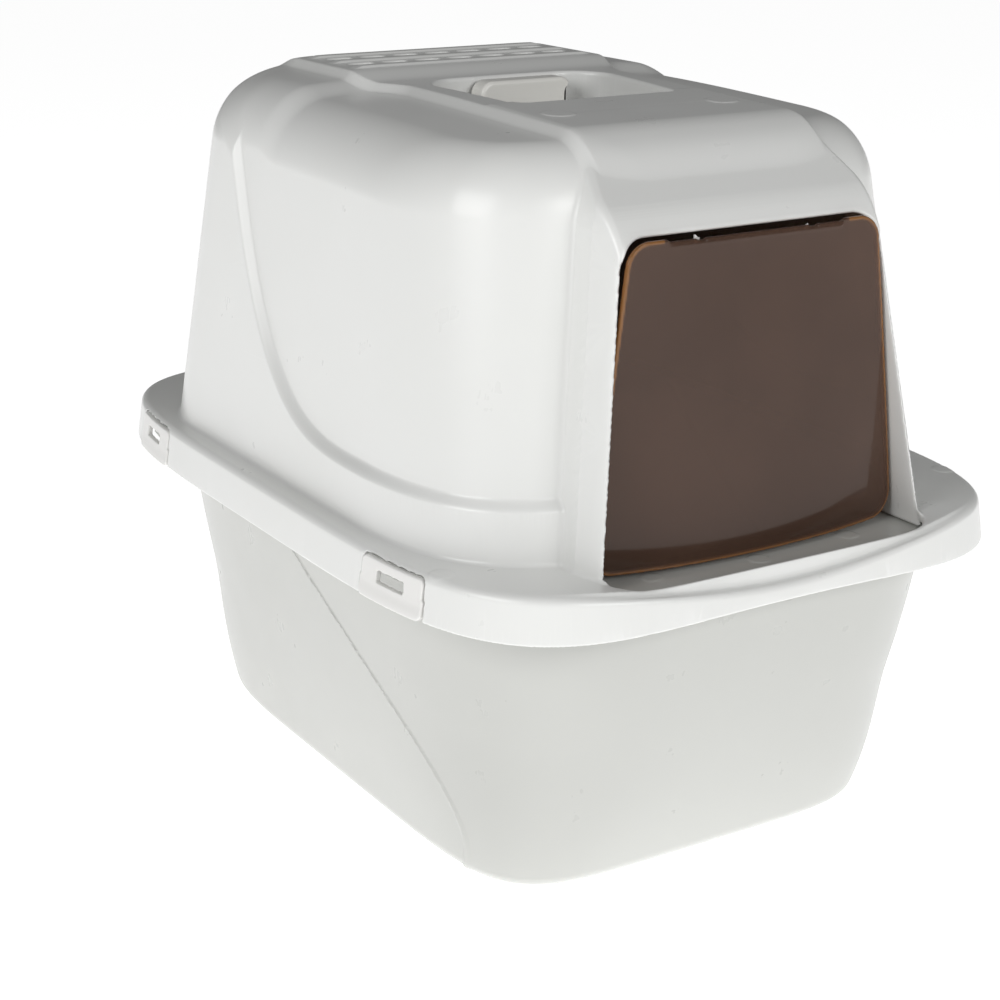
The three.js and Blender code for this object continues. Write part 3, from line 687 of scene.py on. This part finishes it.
def mesh_from_field(name, field, low, high, step, target, material):
    """A closed mesh on the skin of a field, with the field's own normals."""
    margin = MARGIN_CELLS * step
    grid, origin = sampled(field, np.array(low) - margin, np.array(high) + margin, step)
    volume = openvdb.FloatGrid(background=BAND_CELLS * step)
    volume.copyFromArray(grid)
    points, _, quads = volume.convertToPolygons(isovalue=0.0, adaptivity=0.0)
    points = origin + points.astype(np.float64) * step
    quads = quads.astype(np.int64)[:, ::-1]
    for _ in range(DRAW_ROUNDS):
        points, outward = drawn_on(field, points, step)
        points = evened(points, outward, quads, EVEN_ROUNDS)
    mesh = bpy.data.meshes.new(name)
    mesh.from_pydata(points.tolist(), [], quads.tolist())
    piece = bpy.data.objects.new(name, mesh)
    bpy.context.scene.collection.objects.link(piece)
    thinned(piece, target)
    mesh = piece.data
    mesh.name = name
    points = np.empty(len(mesh.vertices) * 3)
    mesh.vertices.foreach_get("co", points)
    points = points.reshape(-1, 3)
    points = unfolded(field, points, mesh, step)
    mesh.vertices.foreach_set("co", (points * MM).ravel())
    mesh.update()
    normals = slope_of(field, points, NORMAL_REACH)
    normals /= np.maximum(np.linalg.norm(normals, axis=1), 1e-9)[:, None]
    corner = mesh.polygons[0].vertices[0]
    if Vector(normals[corner]).dot(mesh.polygons[0].normal) < 0:
        mesh.flip_normals()
    mesh.shade_smooth()
    mesh.normals_split_custom_set_from_vertices(normals.tolist())
    # The skin's bend, kept on the points for the painted edge highlight of the plastic materials.
    edge = mesh.attributes.new("edge", "FLOAT", "POINT")
    bends = np.clip(bend_of(field, points), 0, 1)
    edge.data.foreach_set("value", bends.astype(np.float32))
    mesh.materials.append(material)
    print(f"{name}: {len(mesh.vertices)} vertices, {len(mesh.polygons)} faces")
    return piece


def bend_of(field, points, reach=0.8):
    """How sharply the skin bends: 0 where flat, 1 or more on a tight edge, below 0 in a hollow."""
    total = -6 * field(*points.T)
    for axis in range(3):
        nudge = np.zeros(3)
        nudge[axis] = reach
        total = total + field(*(points + nudge).T) + field(*(points - nudge).T)
    return total / reach**2 / 0.8


# ---- materials -----------------------------------------------------------------------------


class Nodes:
    """A short way to build one material's node tree."""

    def __init__(self, name):
        self.material = bpy.data.materials.new(name)
        self.material.use_nodes = True
        self.tree = self.material.node_tree
        self.tree.nodes.clear()
        self.output = self.add("ShaderNodeOutputMaterial")
        self.place = self.add("ShaderNodeTexCoord").outputs["Object"]

    def add(self, kind, inputs=None, **settings):
        node = self.tree.nodes.new(kind)
        for key, value in settings.items():
            setattr(node, key, value)
        for key, value in (inputs or {}).items():
            if isinstance(value, bpy.types.NodeSocket):
                self.tree.links.new(value, node.inputs[key])
            else:
                node.inputs[key].default_value = value
        return node

    def noise(self, scale, detail=3.0, roughness=0.55, stretch=None):
        place = self.place
        if stretch:
            place = self.add("ShaderNodeMapping", {"Vector": place, "Scale": stretch}).outputs[0]
        inputs = {"Vector": place, "Scale": scale, "Detail": detail, "Roughness": roughness}
        return self.add("ShaderNodeTexNoise", inputs).outputs["Fac"]

    def ramp(self, value, low, high, to_low, to_high):
        inputs = {"Value": value, 1: low, 2: high, 3: to_low, 4: to_high}
        return self.add("ShaderNodeMapRange", inputs).outputs["Result"]

    def mix(self, factor, a, b):
        node = self.add("ShaderNodeMix", {"Factor": factor}, data_type="RGBA")
        for key, value in ((6, a), (7, b)):
            if isinstance(value, bpy.types.NodeSocket):
                self.tree.links.new(value, node.inputs[key])
            else:
                node.inputs[key].default_value = (*value, 1)
        return node.outputs[2]

    def bump(self, height, strength, distance):
        inputs = {"Height": height, "Strength": strength, "Distance": distance}
        return self.add("ShaderNodeBump", inputs).outputs["Normal"]


def plastic(name, colour, shade, roughness, coat=0.0, grain=0.10):
    """Moulded plastic: faint flow marks, a fine skin, hairline scratches and a painted highlight on
    sharp convex edges.
    """
    nodes = Nodes(name)
    flow = nodes.noise(7, 2, 0.5)
    speckle = nodes.noise(420, 2)
    base = nodes.mix(nodes.ramp(flow, 0.3, 0.7, 0, 1), colour, shade)
    # Painted highlight: the colour turns lighter where the skin bends sharply outwards, standing in for
    # the light that sharp edges catch.
    edge = nodes.add("ShaderNodeAttribute", attribute_name="edge").outputs["Fac"]
    edge = nodes.ramp(edge, 0.1, 0.7, 0, 0.5)
    painted_edge_highlight = tuple(min(1.0, value * 1.05 + 0.01) for value in colour)
    base = nodes.mix(edge, base, painted_edge_highlight)
    scratches = nodes.noise(60, 2, 0.5, stretch=(1, 9, 1))
    rough = nodes.ramp(nodes.noise(34, 4), 0.3, 0.7, roughness - 0.03, roughness + 0.04)
    scuffs = nodes.ramp(scratches, 0.5, 0.9, 0, 0.03)
    rough = nodes.add("ShaderNodeMath", {0: rough, 1: scuffs}, operation="ADD").outputs[0]
    skin = nodes.bump(speckle, grain, 0.00006)
    inputs = {"Base Color": base, "Roughness": rough, "Normal": skin}
    shader = nodes.add("ShaderNodeBsdfPrincipled", inputs)
    shader.inputs["Coat Weight"].default_value = coat
    shader.inputs["Coat Roughness"].default_value = 0.2
    shader.inputs["IOR"].default_value = 1.49
    nodes.tree.links.new(shader.outputs[0], nodes.output.inputs["Surface"])
    return nodes.material


def tinted(name, through, body, edge, share):
    """Smoke-brown clear plastic, glossy, that lets part of the light through, with an amber glow
    painted into its colour along its edge."""
    nodes = Nodes(name)
    cloud = nodes.noise(14, 4, 0.6)
    deep = tuple(value * 0.82 for value in body)
    tint = nodes.mix(nodes.ramp(cloud, 0.35, 0.65, 0, 1), body, deep)
    # Painted glow: along the pane's edge the tint turns amber and lets less light through.
    painted_edge_glow = nodes.add("ShaderNodeAttribute", attribute_name="painted_edge_glow").outputs["Fac"]
    tint = nodes.mix(painted_edge_glow, tint, edge)
    rough = nodes.ramp(nodes.noise(50, 3), 0.3, 0.7, 0.06, 0.13)
    skin = nodes.bump(nodes.noise(300, 2), 0.05, 0.00005)
    gloss = nodes.add(
        "ShaderNodeBsdfPrincipled", {"Base Color": tint, "Roughness": rough, "Normal": skin}
    )
    gloss.inputs["IOR"].default_value = 1.5
    clear = nodes.add("ShaderNodeBsdfTransparent", {"Color": (*through, 1)})
    share = nodes.ramp(painted_edge_glow, 0, 1, share, 0.25)
    mixed = nodes.add("ShaderNodeMixShader", {0: share, 1: gloss.outputs[0], 2: clear.outputs[0]})
    nodes.tree.links.new(mixed.outputs[0], nodes.output.inputs["Surface"])
    return nodes.material


def felt(name, colour, shade):
    """Charcoal felt: matted fibres in two directions."""
    nodes = Nodes(name)
    fibres = nodes.noise(700, 4, 0.7, stretch=(1, 3.5, 1))
    cross = nodes.noise(650, 4, 0.7, stretch=(3.5, 1, 1))
    matted = nodes.add("ShaderNodeMath", {0: fibres, 1: cross}, operation="ADD").outputs[0]
    base = nodes.mix(nodes.ramp(matted, 0.8, 1.2, 0, 1), colour, shade)
    rough = nodes.ramp(matted, 0.7, 1.3, 0.85, 1.0)
    inputs = {"Base Color": base, "Roughness": rough, "Normal": nodes.bump(matted, 0.8, 0.0006)}
    shader = nodes.add("ShaderNodeBsdfPrincipled", inputs)
    shader.inputs["Sheen Weight"].default_value = 0.3
    nodes.tree.links.new(shader.outputs[0], nodes.output.inputs["Surface"])
    return nodes.material


HOOD_COLOUR = (0.80, 0.805, 0.79)
hood_plastic = plastic("hood_plastic", HOOD_COLOUR, (0.785, 0.79, 0.77), 0.3, coat=0.2)
pan_plastic = plastic("pan_plastic", (0.55, 0.555, 0.53), (0.54, 0.545, 0.52), 0.3, coat=0.3)
latch_plastic = plastic("latch_plastic", (0.81, 0.805, 0.785), (0.79, 0.785, 0.765), 0.3)
# Cream and a little lighter than the hood: painted bounce light from the walls of the carry recess.
grip_painted_bounce_light = plastic("grip_painted_bounce_light", (0.83, 0.82, 0.78), (0.82, 0.81, 0.765), 0.3)
tray_plastic = plastic("tray_plastic", (0.74, 0.73, 0.70), (0.70, 0.69, 0.66), 0.4)
charcoal_felt = felt("charcoal_felt", (0.020, 0.021, 0.023), (0.05, 0.052, 0.055))
# The fourth colour is the amber glow painted along the pane's edge.
flap_tint = tinted("flap_tint", (0.50, 0.36, 0.28), (0.14, 0.082, 0.058), (0.30, 0.135, 0.045), 0.5)

# ---- pieces --------------------------------------------------------------------------------

FINE = 1.1
STEP = FINE


def node_span(name):
    """The box round a CAD node, in millimetres."""
    low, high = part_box(name)
    return [value / MM for value in low], [value / MM for value in high]


def moulded(name, field, node, step, target, material, body):
    """A finished piece in the place of a CAD node, meshed a little beyond the node's box."""
    low, high = node_span(node)
    reach = np.array([2.0, FLAP_BULGE + 1 if node == "door_flap" else 2.0, 3.5])
    piece = mesh_from_field(name, field, low - reach, high + reach, step, target, material)
    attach(piece, body)
    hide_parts(node)
    return piece


moulded("hood_moulding", hood_field, "hood_shell", STEP, 196000, hood_plastic, "hood")
moulded("pan_moulding", pan_field, "litter_pan", STEP * 1.5, 120000, pan_plastic, "pan")
flap = moulded("flap_pane", flap_field, "door_flap", 1.0, 150000, flap_tint, "flap")
# The share of the amber glow painted along the pane's edge, kept on its points.
places = np.empty(len(flap.data.vertices) * 3)
flap.data.vertices.foreach_get("co", places)
across, _, upward = places.reshape(-1, 3).T / MM
painted_edge_glow = painted_edge_glow_share(across, upward).astype(np.float32)
flap.data.attributes.new("painted_edge_glow", "FLOAT", "POINT").data.foreach_set("value", painted_edge_glow)
moulded("grip_block", grip_field, "carry_grip", 0.9, 20000, grip_painted_bounce_light, "hood")
pad = moulded("filter_felt", pad_field, "filter_pad", 1.6, 20000, charcoal_felt, "hood")
moulded("tray_frame", tray_field, "filter_tray", 1.0, 60000, tray_plastic, "hood")
for corner in ("front_left", "front_right", "rear_left", "rear_right"):
    node = "latch_" + corner
    moulded("clip_" + corner, latch_field, node, 0.7, 24000, latch_plastic, node)

# ---- stage ---------------------------------------------------------------------------------

CAMERA_PLACE = (-0.625323, -0.961663, 0.532340)
CAMERA_YAW = math.radians(32.1737)
CAMERA_PITCH = math.radians(18.6206)
CAMERA_ROLL = math.radians(0.4791)
CAMERA_LENS = 74.65

forward = Vector(
    (
        math.sin(CAMERA_YAW) * math.cos(CAMERA_PITCH),
        math.cos(CAMERA_YAW) * math.cos(CAMERA_PITCH),
        -math.sin(CAMERA_PITCH),
    )
)
level = Vector((math.cos(CAMERA_YAW), -math.sin(CAMERA_YAW), 0))
upright = level.cross(forward)
rolled_right = level * math.cos(CAMERA_ROLL) + upright * math.sin(CAMERA_ROLL)
rolled_up = upright * math.cos(CAMERA_ROLL) - level * math.sin(CAMERA_ROLL)

camera = bpy.data.objects.new("camera", bpy.data.cameras.new("camera"))
camera.data.lens = CAMERA_LENS
camera.data.sensor_width = 36
camera.data.clip_start = 0.01
turn = Matrix((rolled_right, rolled_up, -forward)).transposed()
camera.matrix_world = Matrix.Translation(CAMERA_PLACE) @ turn.to_4x4()
bpy.context.scene.collection.objects.link(camera)
bpy.context.scene.camera = camera


def area_light(name, place, target, size, power):
    """A soft rectangular light that faces a target."""
    data = bpy.data.lights.new(name, "AREA")
    data.shape = "RECTANGLE"
    data.size, data.size_y = size
    data.energy = power
    light = bpy.data.objects.new(name, data)
    direction = Vector(target) - Vector(place)
    light.rotation_euler = direction.to_track_quat("-Z", "Y").to_euler()
    light.location = place
    bpy.context.scene.collection.objects.link(light)


LIT_PLACE = (0, 0, 0.2)
area_light("key_left", (-1.9, -0.5, 1.15), LIT_PLACE, (1.3, 1.0), 17)
area_light("front_fill", (0.35, -2.1, 1.10), LIT_PLACE, (1.4, 0.8), 18)

# The studio's walls: dim as a light on the object, pale where they are seen
SKY_LIGHT = 0.13
SKY_SEEN = 0.95
world = bpy.data.worlds.new("studio")
world.use_nodes = True
sky = world.node_tree.nodes["Background"]
sky.inputs["Color"].default_value = (1, 1, 1, 1)
seen = world.node_tree.nodes.new("ShaderNodeLightPath").outputs["Is Camera Ray"]
strength = world.node_tree.nodes.new("ShaderNodeMapRange")
strength.inputs["To Min"].default_value = SKY_LIGHT
strength.inputs["To Max"].default_value = SKY_SEEN
world.node_tree.links.new(seen, strength.inputs["Value"])
world.node_tree.links.new(strength.outputs["Result"], sky.inputs["Strength"])
bpy.context.scene.world = world
bpy.context.scene.view_settings.view_transform = "Standard"

FLOOR_HALF = 6.0
floor_mesh = bpy.data.meshes.new("floor")
corners = [(-1, -1), (1, -1), (1, 1), (-1, 1)]
floor_mesh.from_pydata([(x * FLOOR_HALF, y * FLOOR_HALF, 0) for x, y in corners], [], [(0, 1, 2, 3)])
floor = bpy.data.objects.new("floor", floor_mesh)
bpy.context.scene.collection.objects.link(floor)
paper = Nodes("floor_paper")
shade = paper.mix(paper.noise(3, 3), (0.80, 0.80, 0.80), (0.82, 0.82, 0.82))
sheet = paper.add("ShaderNodeBsdfPrincipled", {"Base Color": shade})
sheet.inputs["Roughness"].default_value = 0.9
sheet.inputs["Emission Color"].default_value = (1, 1, 1, 1)
sheet.inputs["Emission Strength"].default_value = 0.86
paper.tree.links.new(sheet.outputs[0], paper.output.inputs["Surface"])
paper.material.cycles.emission_sampling = "NONE"
floor_mesh.materials.append(paper.material)
